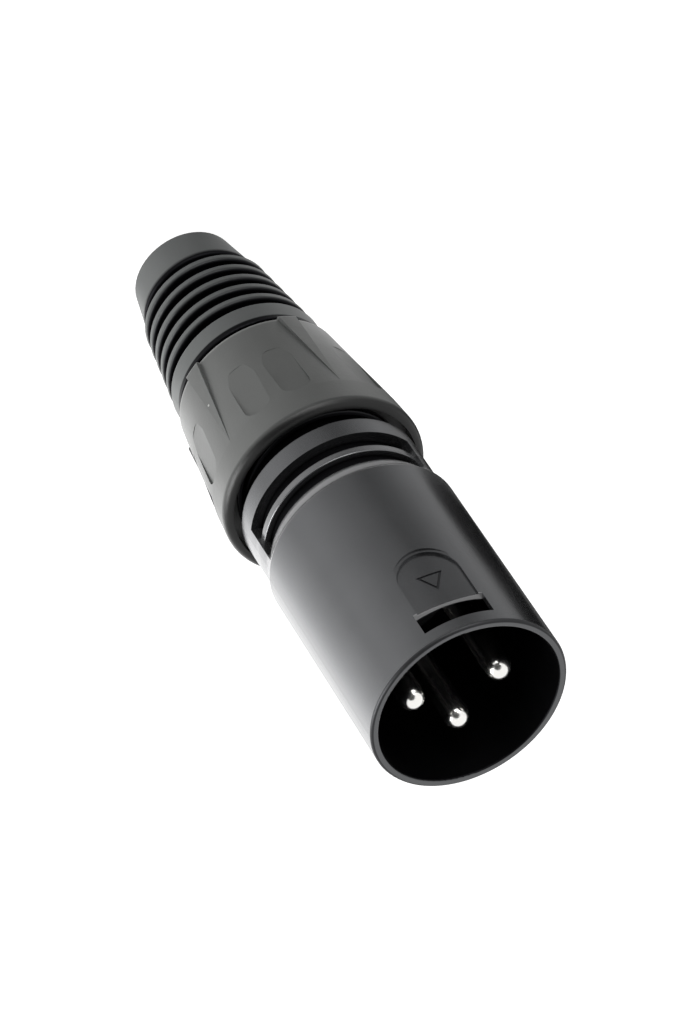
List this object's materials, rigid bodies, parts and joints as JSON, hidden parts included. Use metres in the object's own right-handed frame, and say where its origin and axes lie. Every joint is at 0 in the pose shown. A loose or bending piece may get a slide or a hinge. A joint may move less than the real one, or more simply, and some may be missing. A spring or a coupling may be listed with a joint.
{
  "type": "round three-pin cable plug",
  "caption": "Round cable plug for microphone leads: a metal barrel with pins inside, a screwed backshell with grip panels and a ribbed boot.",
  "frame": {"origin": "middle of the boot's end face, which is the lowest point of the plug as it stands", "axes": "+Z along the plug's axis from the boot to the open mating face, the latch slot faces -Y, the two outer pins lie on the X axis"},
  "size_m": [0.0202, 0.0202, 0.0655],
  "materials": {
    "housing": "satin black lacquer",
    "insert": "moulded black",
    "pins": "silver plated",
    "ground_contact": "rolled strip",
    "cable_clamp": "moulded natural",
    "backshell": "finely grained black",
    "boot": "matt black"
  },
  "bodies": {
    "backshell": {"backshell": "backshell", "boot": "boot"},
    "clamp": {"cable_clamp": "cable_clamp"},
    "housing": {"housing": "housing", "insert": "insert", "pin_1": "pins", "pin_2": "pins", "pin_3": "pins", "ground_contact": "ground_contact"}
  },
  "joints": [
    {"name": "backshell_turn", "type": "hinge", "parent": "backshell", "child": "clamp", "pos_m": [0, 0, 0.03], "axis": [0, 0, 1], "range_deg": [0, 1800]},
    {"name": "housing_travel", "type": "slide", "parent": "clamp", "child": "housing", "axis": [0, 0, 1], "range_m": [0, 0.005]}
  ],
  "couplings": [
    {"joint": "backshell_turn", "follows": "housing_travel", "rad_per_m": 6283.2}
  ]
}
